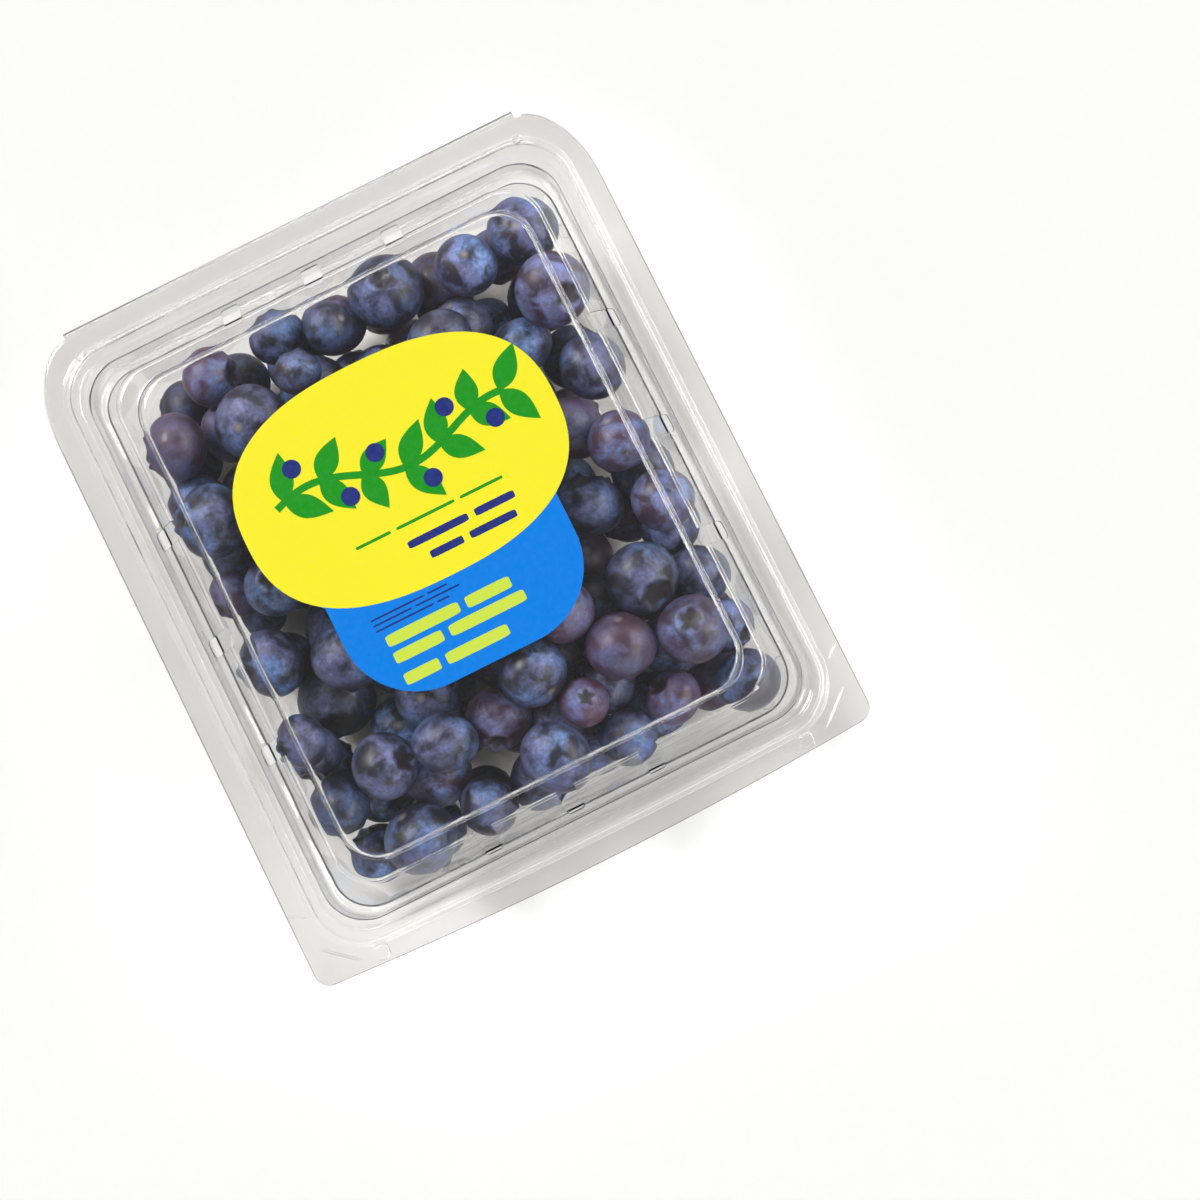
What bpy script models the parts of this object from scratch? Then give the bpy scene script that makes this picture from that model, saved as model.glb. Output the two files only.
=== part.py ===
"""A shut clear clamshell pack of blueberries with a die-cut label on its lid.

Metres, +Z up. The origin is on the ground under the middle of the tray. X runs along the hinge,
+Y is the hinge side and -Y the front, where the lid is pulled open.
"""

import math

import bmesh
import bpy
import numpy as np
from mathutils import Vector

MM = 0.001

# Driving sizes of the plastic
RIM_HALF_X = 49.5 * MM  # inner edge of the flange, where tray wall and lid wall start
RIM_HALF_Y = 58.8 * MM
RIM_RADIUS = 8.4 * MM
FLANGE_X = 8.5 * MM  # how far the flange reaches past the rim
FLANGE_FRONT = 7.5 * MM
FLANGE_BACK = 8.2 * MM
BACK_RADIUS = 13.0 * MM  # outer corners beside the hinge
FRONT_RADIUS = 2.8 * MM  # outer corners at the front, drawn out as finger tabs
BACK_BOW = 0.8 * MM  # how far the hinge edge bows out in the middle
FRONT_BOW = 2.0 * MM
PARTING_Z = 25.0 * MM  # where tray and lid meet
LID_RISE = 10.6 * MM
WALL = 0.5 * MM
GAP = 0.3 * MM  # between pieces that touch
BEAD_HEIGHT = 1.2 * MM
BEAD_INNER = 0.8 * MM  # feet of the bead, measured out from the rim
BEAD_OUTER = 4.4 * MM
BEAD_SLOPE = 1.0 * MM
FOOT_OUT = -7.0 * MM  # outer edge of the ring that the tray stands on
FOOT_WIDTH = 4.0 * MM
FLOOR_RISE = 1.2 * MM  # the floor panel stands this much over the ground
PIP_HEIGHT = 0.3 * MM  # round pips in the corners lift the ring off the ground
PIP_RADIUS = 1.6 * MM
PIP_PLACE = (38.9 * MM, 48.2 * MM)

# Inner faces of the walls, as the reach out from the rim and the height, from the rim inwards
TRAY_TOP = PARTING_Z - GAP / 2
LID_BASE = PARTING_Z + GAP / 2
TRAY_WALL = (
    (0.0, TRAY_TOP),
    (-0.9 * MM, TRAY_TOP - 4.5 * MM),
    (-2.1 * MM, TRAY_TOP - 5.2 * MM),
    (-5.0 * MM, 4.5 * MM),
    (-5.6 * MM, 2.2 * MM),
    (FOOT_OUT, WALL + PIP_HEIGHT),
)
LID_WALL = (
    (0.0, LID_BASE),
    (-5.4 * MM, LID_BASE + LID_RISE - 2.9 * MM),
    (-5.9 * MM, LID_BASE + LID_RISE - 2.4 * MM),
    (-8.6 * MM, LID_BASE + LID_RISE - 2.1 * MM),
    (-9.3 * MM, LID_BASE + LID_RISE - WALL),
)

# Ring resolution
CORNER_STEPS = 6
EDGE_STEPS = 6

# Vent slots, cut straight down through the lid wall and up through the floor
VENT_WIDTH = 3.7 * MM
VENT_PITCH_X = 17.0 * MM
VENT_PITCH_Y = 22.7 * MM
VENT_OUTER = -1.2 * MM  # measured out from the rim
VENT_INNER = -6.4 * MM
FLOOR_SLOT = (15.0 * MM, 3.0 * MM)
FLOOR_SLOT_PITCH = (24.0 * MM, 21.0 * MM)

# Snap buttons on the lid's front corners
BUTTON_RADIUS = 1.3 * MM
BUTTON_HEIGHT = 0.7 * MM
BUTTON_X = 44.4 * MM
BUTTON_Y = -65.0 * MM

# Label: a wide oval with a narrower round-cornered tab below it
LABEL_CENTRE = (-1.0 * MM, 4.0 * MM)
LABEL_HALF_X = 32.0 * MM
LABEL_HALF_Y = 22.0 * MM
LABEL_POWER = 2.5  # 2 is an ellipse, more is squarer
LABEL_RAISE = 9.5 * MM  # of the oval's middle over the label's centre
TAB_HALF_X = 24.0 * MM
TAB_BOTTOM = -30.5 * MM
TAB_RADIUS = 15.0 * MM
LABEL_THICKNESS = 0.3 * MM
LABEL_STEPS = 60

# Berries
SEED = 7
FREE_BERRIES = 96
FREE_DIAMETER = (12.2 * MM, 1.5 * MM)  # mean and spread
DIAMETER_LIMITS = (9.0 * MM, 15.0 * MM)
BERRY_CLEARANCE = 0.8 * MM  # from the plastic
WALL_SAMPLES = (-0.9, -0.6, -0.3, 0.0, 0.3, 0.6, 0.8, 0.95)  # heights on a ball, in radii
FREE_CEILING = 19.0 * MM  # loose ones stay under those placed below, except beneath the label
# Berries that show best, as x, y and diameter in millimetres
PLACED_BERRIES = (
    (-27.0, 47.0, 11.4),
    (-11.0, 49.8, 11.0),
    (-1.6, 46.5, 9.8),
    (10.6, 48.4, 14.5),
    (27.1, 45.1, 12.0),
    (39.3, 47.0, 13.5),
    (-36.8, 38.9, 13.2),
    (-23.2, 36.1, 14.2),
    (-10.5, 40.0, 9.0),
    (20.0, 35.6, 12.4),
    (38.3, 33.2, 14.5),
    (-42.4, 24.2, 14.0),
    (-42.5, 9.0, 9.6),
    (-33.0, 6.6, 11.8),
    (-41.8, -6.2, 13.1),
    (-42.8, -23.2, 10.2),
    (-42.0, -35.1, 12.1),
    (42.0, 17.6, 13.1),
    (33.2, 7.6, 12.6),
    (41.6, 1.9, 12.1),
    (28.0, -5.7, 13.4),
    (40.7, -12.3, 11.8),
    (30.8, -24.7, 13.8),
    (42.0, -26.6, 12.1),
    (34.1, -37.0, 13.1),
    (-27.9, -34.6, 12.6),
    (-16.6, -35.6, 12.4),
    (-27.9, -47.6, 14.0),
    (-14.8, -49.0, 11.6),
    (1.2, -47.6, 14.0),
    (-4.9, -35.1, 12.4),
    (6.9, -31.3, 13.1),
    (14.4, -21.8, 12.4),
    (14.4, -12.3, 11.4),
    (20.5, -33.2, 13.3),
    (7.3, -39.8, 9.2),
    (15.3, -47.4, 11.0),
    (25.6, -46.0, 10.6),
)
FREE_START_Z = 11.0 * MM  # where the loose ones start, give or take the spread
START_SPREAD = 7.0 * MM
START_INSET = 8.0 * MM
PLACED_START_Z = 26.0 * MM
SETTLE_STEPS = 900
FALL = 0.12 * MM  # a step, at the start
PULL = 0.12  # share of the way back to its place that a placed berry moves in a step
SOLVE_ROUNDS = 3
PUSH_SHARE = 0.42

SHOWN_SIDES = (7, 5)  # segments and rings of a berry that shows, and of one beneath others
UNDER_SIDES = (6, 4)
UNDER_Z = 13.0 * MM
UNDER_INSET = 13.0 * MM
FACET_GROWTH = 1.05  # so that a faceted ball fills about what the round one does
CORE_INSET = 6.0 * MM
CORE_BOTTOM = 6.0 * MM
CORE_DEPTH = 6.5 * MM  # under the top of the heap
CORE_CELLS = (8, 10)
CORE_NEAR = 5.0 * MM  # a berry this near in plan raises the core
CORE_LEAST = 4.0 * MM  # least height of the core
CORE_DRAFT = 5.0 * MM  # its foot stands in by this much


def clear_scene():
    for obj in list(bpy.data.objects):
        bpy.data.objects.remove(obj)


def material(name, colour, roughness, alpha=1.0):
    mat = bpy.data.materials.new(name)
    mat.use_nodes = True
    shader = mat.node_tree.nodes["Principled BSDF"]
    shader.inputs["Base Color"].default_value = (*colour, 1.0)
    shader.inputs["Roughness"].default_value = roughness
    shader.inputs["Alpha"].default_value = alpha
    mat.diffuse_color = (*colour, alpha)
    return mat


def collection(name):
    made = bpy.data.collections.new(name)
    bpy.context.scene.collection.children.link(made)
    return made


def add_object(name, mesh, into, mat=None):
    obj = bpy.data.objects.new(name, mesh)
    into.objects.link(obj)
    if mat:
        mesh.materials.append(mat)
    return obj


def mesh_of(bm, name):
    mesh = bpy.data.meshes.new(name)
    bm.to_mesh(mesh)
    bm.free()
    return mesh


def as_helper(obj):
    obj.hide_render = True
    obj.display_type = "WIRE"


def add_modifier(obj, kind, **settings):
    modifier = obj.modifiers.new(kind.title(), kind)
    for key, value in settings.items():
        setattr(modifier, key, value)
    return modifier


def ring(out, z, edge=False):
    """A level rounded rectangle, out from the rim, anticlockwise seen from above.

    With edge it is the flange's outer outline: bowed at front and back, with square front tabs.
    """
    half_x = RIM_HALF_X + (FLANGE_X if edge else out)
    reach = {1: FLANGE_BACK if edge else out, -1: FLANGE_FRONT if edge else out}
    plain = max(RIM_RADIUS + out / 2, RIM_RADIUS - 1 * MM)
    corner = {1: BACK_RADIUS if edge else plain, -1: FRONT_RADIUS if edge else plain}
    # On the bead the bow fades towards the rim
    share = 1.0 if edge else max(out, 0.0) / FLANGE_X
    points = []
    for number, (side_x, side_y) in enumerate(((1, 1), (-1, 1), (-1, -1), (1, -1))):
        half_y = RIM_HALF_Y + reach[side_y]
        radius = corner[side_y]
        for step in range(CORNER_STEPS + 1):
            angle = math.pi / 2 * (number + step / CORNER_STEPS)
            x = side_x * (half_x - radius) + radius * math.cos(angle)
            y = side_y * (half_y - radius) + radius * math.sin(angle)
            points.append((x, y, side_y))
        if number in (0, 2):
            length = half_x - radius
            for step in range(1, EDGE_STEPS):
                x = side_x * length * (1 - 2 * step / EDGE_STEPS)
                points.append((x, side_y * half_y, side_y))
    bow = {1: BACK_BOW * share, -1: FRONT_BOW * share}
    return [
        Vector((x, y + side * bow[side] * (1 - (x / half_x) ** 2), z))
        for x, y, side in points
    ]


def loft(name, rings):
    """An open surface through rings from the outside in, closed by a flat panel in the middle."""
    bm = bmesh.new()
    rows = [[bm.verts.new(point) for point in points] for points in rings]
    for outer, inner in zip(rows, rows[1:]):
        for i in range(len(outer)):
            j = (i + 1) % len(outer)
            bm.faces.new((outer[i], outer[j], inner[j], inner[i]))
    bm.faces.new(rows[-1])
    mesh = mesh_of(bm, name)
    mesh.shade_smooth()
    mesh.set_sharp_from_angle(angle=math.radians(25))
    return mesh


def flange_rings(z, inner, outer):
    """The flange from its outline in to the bead's inner foot."""
    return [
        ring(0, z, edge=True),
        ring(outer, z),
        ring(outer - BEAD_SLOPE, z + BEAD_HEIGHT),
        ring(inner + BEAD_SLOPE, z + BEAD_HEIGHT),
        ring(inner, z),
    ]


def tray_rings():
    """The tray's upper and inner surface: the lid's bead fits over its own."""
    foot_inner = FOOT_OUT - FOOT_WIDTH
    walls = [ring(out, z) for out, z in TRAY_WALL]
    foot = [
        ring(foot_inner, WALL + PIP_HEIGHT),
        ring(foot_inner - FLOOR_RISE, WALL + FLOOR_RISE),
    ]
    return flange_rings(TRAY_TOP, BEAD_INNER + GAP, BEAD_OUTER - GAP) + walls + foot


def lid_rings():
    """The lid's under surface."""
    walls = [ring(out, z) for out, z in LID_WALL]
    return flange_rings(LID_BASE, BEAD_INNER, BEAD_OUTER) + walls


def box_cutter(name, centre, size, into):
    bm = bmesh.new()
    bmesh.ops.create_cube(bm, size=1.0)
    bmesh.ops.scale(bm, vec=size, verts=bm.verts)
    cutter = add_object(name, mesh_of(bm, name), into)
    cutter.location = centre
    as_helper(cutter)


def lid_vent_cutters(into):
    """Three slots in each of the lid's four sloping walls."""
    length = VENT_OUTER - VENT_INNER
    middle = (VENT_OUTER + VENT_INNER) / 2
    z = PARTING_Z + LID_RISE
    height = 2 * LID_RISE - 1 * MM
    for side in (1, -1):
        for place in (-1, 0, 1):
            front = (place * VENT_PITCH_X, side * (RIM_HALF_Y + middle), z)
            flank = (side * (RIM_HALF_X + middle), place * VENT_PITCH_Y, z)
            box_cutter("lid_vent", front, (VENT_WIDTH, length, height), into)
            box_cutter("lid_vent", flank, (length, VENT_WIDTH, height), into)


def floor_slot_cutters(into):
    for row in (-1, 0, 1):
        for column in (-1, 0, 1):
            x, y = column * FLOOR_SLOT_PITCH[0], row * FLOOR_SLOT_PITCH[1]
            box_cutter("floor_slot", (x, y, FLOOR_RISE), (*FLOOR_SLOT, 3 * WALL), into)


def add_thickness(obj, side):
    add_modifier(
        obj,
        "SOLIDIFY",
        thickness=WALL,
        offset=side,
        use_even_offset=True,
        use_quality_normals=True,
    )


def add_boolean(obj, operation, others):
    add_modifier(
        obj, "BOOLEAN", operation=operation, operand_type="COLLECTION", collection=others
    )


def low_cone(name, base_radius, top_radius, height, place, into):
    """A short tapered stud, standing on the place given."""
    bm = bmesh.new()
    bmesh.ops.create_cone(
        bm,
        cap_ends=True,
        segments=12,
        radius1=base_radius,
        radius2=top_radius,
        depth=height,
    )
    stud = add_object(name, mesh_of(bm, name), into)
    stud.location = (place[0], place[1], place[2] + height / 2)
    as_helper(stud)


def build_tray(into, cutters, pips, mat):
    tray = add_object("tray", loft("tray", tray_rings()), into, mat)
    add_thickness(tray, -1.0)
    floor_slot_cutters(cutters)
    add_boolean(tray, "DIFFERENCE", cutters)
    for side_x in (-1, 1):
        for side_y in (-1, 1):
            place = (side_x * PIP_PLACE[0], side_y * PIP_PLACE[1], 0.0)
            height = PIP_HEIGHT + WALL / 2
            low_cone("pip", PIP_RADIUS, PIP_RADIUS, height, place, pips)
    add_boolean(tray, "UNION", pips)


def build_lid(into, cutters, buttons, mat):
    lid = add_object("lid", loft("lid", lid_rings()), into, mat)
    add_thickness(lid, 1.0)
    lid_vent_cutters(cutters)
    add_boolean(lid, "DIFFERENCE", cutters)
    for side in (-1, 1):
        # Its foot is sunk half a wall thickness in the flange
        place = (side * BUTTON_X, BUTTON_Y, LID_BASE + WALL / 2)
        height = BUTTON_HEIGHT + WALL / 2
        low_cone("button", BUTTON_RADIUS, BUTTON_RADIUS * 0.75, height, place, buttons)
    add_boolean(lid, "UNION", buttons)


def label_outline():
    """The oval and the tab as one outline, by the farther of the two edges."""
    points = []
    for step in range(LABEL_STEPS):
        angle = 2 * math.pi * step / LABEL_STEPS
        direction = Vector((math.cos(angle), math.sin(angle)))
        reach = max(last_inside(direction, inside_oval), last_inside(direction, inside_tab))
        points.append(direction * reach)
    return points


def inside_oval(point):
    x = abs(point.x) / LABEL_HALF_X
    y = abs(point.y - LABEL_RAISE) / LABEL_HALF_Y
    return x**LABEL_POWER + y**LABEL_POWER < 1


def inside_tab(point):
    past_x = max(abs(point.x) - TAB_HALF_X + TAB_RADIUS, 0)
    past_y = max(TAB_BOTTOM + TAB_RADIUS - point.y, 0)
    return math.hypot(past_x, past_y) < TAB_RADIUS and point.y < LABEL_RAISE


def last_inside(direction, inside):
    """How far along the direction from the label's centre the shape reaches, by halving."""
    near, far = 0.0, 2 * LABEL_HALF_X
    for _ in range(24):
        middle = (near + far) / 2
        near, far = (middle, far) if inside(direction * middle) else (near, middle)
    return near


def build_label(into, mat):
    curve = bpy.data.curves.new("label", "CURVE")
    curve.dimensions = "2D"
    curve.fill_mode = "BOTH"
    curve.extrude = LABEL_THICKNESS / 2
    outline = label_outline()
    spline = curve.splines.new("POLY")
    spline.points.add(len(outline) - 1)
    for point, place in zip(spline.points, outline):
        point.co = (place.x, place.y, 0, 1)
    spline.use_cyclic_u = True
    label = add_object("label", curve, into, mat)
    label.location = (*LABEL_CENTRE, LID_BASE + LID_RISE + GAP + LABEL_THICKNESS / 2)


def wall_inset(places, radii):
    """How far inside the rim the wall stands for each ball, over the heights that it spans."""
    outs, heights = zip(*TRAY_WALL[::-1], *LID_WALL)
    insets = []
    for share in WALL_SAMPLES:
        level = places[:, 2] + share * radii
        narrower = radii * (1 - math.sqrt(1 - share**2))
        insets.append(-np.interp(level, heights, outs) - narrower)
    return np.max(insets, axis=0)


def keep_inside(places, radii):
    """Moves each berry clear of the floor, the panel above and the rounded walls."""
    floor = WALL + FLOOR_RISE + BERRY_CLEARANCE
    ceiling = LID_WALL[-1][1] - BERRY_CLEARANCE
    places[:, 2] = np.clip(places[:, 2], floor + radii, ceiling - radii)
    inset = wall_inset(places, radii)
    corner = RIM_RADIUS - 1 * MM
    centre = np.stack((RIM_HALF_X - inset - corner, RIM_HALF_Y - inset - corner), axis=1)
    past = places[:, :2] - np.clip(places[:, :2], -centre, centre)
    length = np.linalg.norm(past, axis=1)
    reach = np.maximum(corner - radii - BERRY_CLEARANCE, 1e-6)
    over = length > reach
    shrink = np.where(over, reach / np.maximum(length, 1e-9), 1.0)
    places[:, :2] = np.clip(places[:, :2], -centre, centre) + past * shrink[:, None]
    # A berry larger than the corner's round is held by the straight walls
    limit = np.stack((RIM_HALF_X - inset, RIM_HALF_Y - inset), axis=1)
    limit -= (radii + BERRY_CLEARANCE)[:, None]
    places[:, :2] = np.clip(places[:, :2], -limit, limit)


def push_apart(places, radii):
    between = places[:, None] - places[None]
    distance = np.linalg.norm(between, axis=2) + np.eye(len(places))
    overlap = np.maximum(radii[:, None] + radii[None] - distance, 0.0)
    np.fill_diagonal(overlap, 0.0)
    places += (between / distance[..., None] * overlap[..., None]).sum(axis=1) * PUSH_SHARE


def settled_berries():
    """Places and radii of all berries: loose ones fall under and between the placed ones."""
    rng = np.random.default_rng(SEED)
    placed = np.array(PLACED_BERRIES) * MM
    loose = np.clip(rng.normal(*FREE_DIAMETER, FREE_BERRIES), *DIAMETER_LIMITS)
    radii = np.concatenate((placed[:, 2], loose)) / 2
    spread = rng.uniform(-1, 1, (FREE_BERRIES, 3))
    size = (RIM_HALF_X - START_INSET, RIM_HALF_Y - START_INSET, START_SPREAD)
    below = spread * size + (0.0, 0.0, FREE_START_Z)
    above = np.column_stack((placed[:, :2], np.full(len(placed), PLACED_START_Z)))
    places = np.concatenate((above, below))
    is_loose = np.arange(len(places)) >= len(placed)
    for step in range(SETTLE_STEPS):
        fade = 1 - step / SETTLE_STEPS
        places[:, 2] -= FALL * fade
        places[: len(placed), :2] += (placed[:, :2] - places[: len(placed), :2]) * PULL * fade
        for _ in range(SOLVE_ROUNDS):
            push_apart(places, radii)
            from_label = np.abs(places[:, :2] - LABEL_CENTRE).max(axis=1)
            low = is_loose & (from_label > LABEL_HALF_X)
            places[low, 2] = np.minimum(places[low, 2], FREE_CEILING)
            keep_inside(places, radii)
    return places, radii


def heap_height(places, radii, x, y):
    """The heap's top at a point, by the highest berry that is near in plan."""
    aside = np.hypot(places[:, 0] - x, places[:, 1] - y)
    near = aside < radii + CORE_NEAR
    return float((places[near, 2] + radii[near]).max()) if near.any() else CORE_BOTTOM


def build_core(places, radii):
    """A box under the heap's surface, its top following the heap."""
    bm = bmesh.new()
    bmesh.ops.create_grid(bm, x_segments=CORE_CELLS[0], y_segments=CORE_CELLS[1], size=1.0)
    top = list(bm.verts)
    bottom = bmesh.ops.extrude_face_region(bm, geom=list(bm.faces))["geom"]
    bottom = [part for part in bottom if isinstance(part, bmesh.types.BMVert)]
    for vert in top:
        x = vert.co.x * (RIM_HALF_X - CORE_INSET)
        y = vert.co.y * (RIM_HALF_Y - CORE_INSET)
        height = heap_height(places, radii, x, y) - CORE_DEPTH
        vert.co = (x, y, max(height, CORE_BOTTOM + CORE_LEAST))
    for vert in bottom:
        x = vert.co.x * (RIM_HALF_X - CORE_INSET - CORE_DRAFT)
        y = vert.co.y * (RIM_HALF_Y - CORE_INSET - CORE_DRAFT)
        vert.co = (x, y, CORE_BOTTOM)
    bmesh.ops.recalc_face_normals(bm, faces=bm.faces)
    return mesh_of(bm, "berries")


def ball_mesh(segments, rings):
    bm = bmesh.new()
    bmesh.ops.create_uvsphere(bm, u_segments=segments, v_segments=rings, radius=1.0)
    return mesh_of(bm, "berry")


def build_berries(into, pieces, mat):
    places, radii = settled_berries()
    berries = add_object("berries", build_core(places, radii), into, mat)
    shown, under = ball_mesh(*SHOWN_SIDES), ball_mesh(*UNDER_SIDES)
    for number, (place, radius) in enumerate(zip(places, radii)):
        inside = min(RIM_HALF_X - abs(place[0]), RIM_HALF_Y - abs(place[1]))
        is_under = place[2] < UNDER_Z and inside > UNDER_INSET
        berry = add_object("berry", under if is_under else shown, pieces)
        berry.location = place
        berry.scale = [radius * FACET_GROWTH] * 3
        # Turned differently each, so that the facets don't line up
        berry.rotation_euler = (number * 1.7, number * 0.9, number * 2.4)
        berry.hide_render = True
    add_boolean(berries, "UNION", pieces)
    bpy.context.view_layer.update()
    graph = bpy.context.evaluated_depsgraph_get()
    joined = bpy.data.meshes.new_from_object(berries.evaluated_get(graph))
    berries.modifiers.clear()
    berries.data = joined
    for berry in list(pieces.objects):
        bpy.data.objects.remove(berry)
    bpy.data.collections.remove(pieces)


def main():
    clear_scene()
    pack = collection("blueberry_clamshell")
    floor_cutters = collection("floor_cutters")
    lid_cutters = collection("lid_cutters")
    buttons = collection("buttons")
    pips = collection("pips")
    pieces = collection("pieces")
    clear_plastic = material("clear PET sheet", (0.86, 0.88, 0.88), 0.08, alpha=0.25)
    skin = material("blueberry skin", (0.07, 0.08, 0.17), 0.45)
    paper = material("printed label film", (0.95, 0.85, 0.01), 0.4)
    build_tray(pack, floor_cutters, pips, clear_plastic)
    build_berries(pack, pieces, skin)
    build_lid(pack, lid_cutters, buttons, clear_plastic)
    build_label(pack, paper)


main()
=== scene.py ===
"""Dresses the fixed frame of a clear clamshell pack of blueberries.

Metres, +Z up. X runs along the hinge, +Y is the hinge side, -Y the front edge that opens.
The tray and its berries ride on the body "base", the lid and its label on "cover".
"""

import math

import bmesh
import bpy
import numpy as np
from bpy.props import (
    FloatProperty,
    FloatVectorProperty,
    IntProperty,
    PointerProperty,
)
from mathutils import Matrix, Vector


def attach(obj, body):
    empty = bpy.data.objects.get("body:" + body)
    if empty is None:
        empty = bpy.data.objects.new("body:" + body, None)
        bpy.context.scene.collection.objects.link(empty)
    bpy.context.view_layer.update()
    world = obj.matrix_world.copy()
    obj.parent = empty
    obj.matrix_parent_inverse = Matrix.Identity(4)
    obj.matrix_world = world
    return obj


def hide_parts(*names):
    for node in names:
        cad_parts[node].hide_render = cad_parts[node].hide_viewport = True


bl_info = {
    "name": "Berry clamshell",
    "version": (1, 0, 0),
    "blender": (4, 5, 0),
    "location": "View3D > Sidebar > Berry pack",
    "description": "Builds a clear hinged fruit pack, its berries and its label",
    "category": "Add Mesh",
}

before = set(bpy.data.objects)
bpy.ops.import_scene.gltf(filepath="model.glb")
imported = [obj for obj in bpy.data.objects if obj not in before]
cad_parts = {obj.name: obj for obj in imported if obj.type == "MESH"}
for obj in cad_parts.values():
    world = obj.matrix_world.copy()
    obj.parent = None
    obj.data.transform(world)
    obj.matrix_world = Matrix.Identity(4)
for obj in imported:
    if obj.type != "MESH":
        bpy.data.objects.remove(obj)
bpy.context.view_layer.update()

MM = 0.001
LOOSE = 0.01 * MM  # takes in the points that lie right on a limit

# Sizes that the frame was made with
RIM_HALF_X = 49.5 * MM
RIM_HALF_Y = 58.8 * MM
RIM_RADIUS = 8.4 * MM
TIGHTEST_CORNER = RIM_RADIUS - 1 * MM  # the walls' corners get no smaller than this
FLANGE_X = 8.5 * MM
FLANGE_FRONT = 7.5 * MM
FLANGE_BACK = 7.8 * MM  # the sheet of the hinge fold comes outside it
BACK_BOW = 0.8 * MM
FRONT_BOW = 2.0 * MM
FRONT_RADIUS = 2.8 * MM
BACK_CORNER = (10.0 * MM, 17.5 * MM)  # the corner beside the hinge is longer than it is wide
PARTING_Z = 25.0 * MM
LID_RISE = 10.6 * MM
WALL = 0.5 * MM
GAP = 0.3 * MM
BEAD_HEIGHT = 1.2 * MM
BEAD_INNER = 0.8 * MM
BEAD_OUTER = 4.4 * MM
BEAD_SLOPE = 1.0 * MM
FOOT_OUT = -7.0 * MM
FOOT_WIDTH = 4.0 * MM
FLOOR_RISE = 1.2 * MM
PIP_HEIGHT = 0.3 * MM
PIP_RADIUS = 1.6 * MM
PIP_FOOT_SHARE = 0.75  # the radius of a pip at its foot, as a share of its own
PIP_PLACE = (38.9 * MM, 48.2 * MM)
TRAY_TOP = PARTING_Z - GAP / 2
LID_BASE = PARTING_Z + GAP / 2
LID_TOP = LID_BASE + LID_RISE
CREASE = (68.0 * MM, PARTING_Z)  # y and z of the line that the lid turns on
HINGE_ROOM = 0.03 * MM  # between the fold and that line, so that the open lid's half clears the tray's

# Both walls, as reach out from the rim and height
TRAY_WALL = (
    (0.0, TRAY_TOP),
    (-0.9 * MM, TRAY_TOP - 4.5 * MM),
    (-2.1 * MM, TRAY_TOP - 5.2 * MM),
    (-5.0 * MM, 4.5 * MM),
    (-5.6 * MM, 2.2 * MM),
    (FOOT_OUT, WALL + PIP_HEIGHT),
)
LID_WALL = (
    (0.0, LID_BASE),
    (-5.4 * MM, LID_BASE + LID_RISE - 2.9 * MM),
    (-5.9 * MM, LID_BASE + LID_RISE - 2.4 * MM),
    (-8.6 * MM, LID_BASE + LID_RISE - 2.1 * MM),
    (-9.3 * MM, LID_BASE + LID_RISE - WALL),
)

VENT_WIDTH = 3.7 * MM
VENT_PITCH_X = 17.0 * MM
VENT_PITCH_Y = 22.7 * MM
VENT_OUTER = -1.2 * MM  # both ends of a vent, as reach out from the rim
VENT_INNER = -6.4 * MM
VENT_FOOT = 0.5 * MM  # how far over the parting line a vent starts
PANEL_MARGIN = 3.0 * MM  # level edge of the floor and the panel, before their flat middle
FLOOR_SLOT = (15.0 * MM, 3.0 * MM)
FLOOR_SLOT_CORNER = 1.4 * MM
FLOOR_SLOT_PITCH = (24.0 * MM, 21.0 * MM)
BUTTON_PLACE = (44.4 * MM, -65.0 * MM)
BUTTON_SIZE = (1.5 * MM, 0.8 * MM)  # radius and height
STUD_PLACE = (46.7 * MM, 62.6 * MM)  # small round studs beside the hinge
STUD_SIZE = (1.0 * MM, 0.6 * MM)
CURL = 0.14 * MM  # cutting leaves the flange's edge slightly turned
CURL_WIDTH = 0.4 * MM
SINK = 0.15 * MM  # how deep the foot of a button or rib lies in the sheet
BEND_SHARE = 0.38
SUPPORT_SHARE = 0.12
SUPPORT_LEAST = 0.05 * MM
# Folds that mark off the lifting tabs at the front corners: both ends, for the right side
TAB_FOLDS = (
    ((57.6 * MM, -51.1 * MM), (54.6 * MM, -53.3 * MM)),
    ((55.0 * MM, -59.2 * MM), (48.7 * MM, -64.6 * MM)),
)
TAB_FOLD_SIZE = (0.5 * MM, 0.4 * MM)  # width and height

LABEL_CENTRE = (-1.0 * MM, 4.0 * MM)
LABEL_HALF_X = 32.0 * MM
LABEL_HALF_Y = 22.0 * MM
LABEL_POWER = 2.5
LABEL_RAISE = 9.5 * MM
TAB_HALF_X = 24.0 * MM
TAB_BOTTOM = -30.5 * MM
TAB_RADIUS = 15.0 * MM
LABEL_GAP = 0.02 * MM  # glue under the film
YELLOW, BLUE, GREEN, NAVY, LIME, BACK = range(6)
INK = 0.015 * MM  # each ink lies this much over what it is printed on
BAR_POWER = 8  # how square the ends of the printed bars are
# The stem runs from left to right as a wave
STEM_START = -24 * MM
STEM_LENGTH = 48 * MM
STEM_LEVEL = 12.0 * MM
STEM_SWING = 2.6 * MM
STEM_WAVES = 1.25
STEM_PHASE = 0.4
STEM_WIDTH = 1.4 * MM
LEAF_PLACES = (0.04, 0.2, 0.36, 0.52, 0.68, 0.84, 0.98)  # as shares of the stem
LEAF_LENGTH = 9.4
LEAF_SHRINK = 0.7
LEAF_WIDTH = 4.5 * MM
LEAF_LEAN = 0.95
DOT_PLACES = ((0.12, 1), (0.28, -1), (0.44, 1), (0.6, -1), (0.76, 1), (0.92, -1))  # share and side
DOT_OUT = 4.2 * MM
DOT_RADIUS = 1.8 * MM
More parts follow.
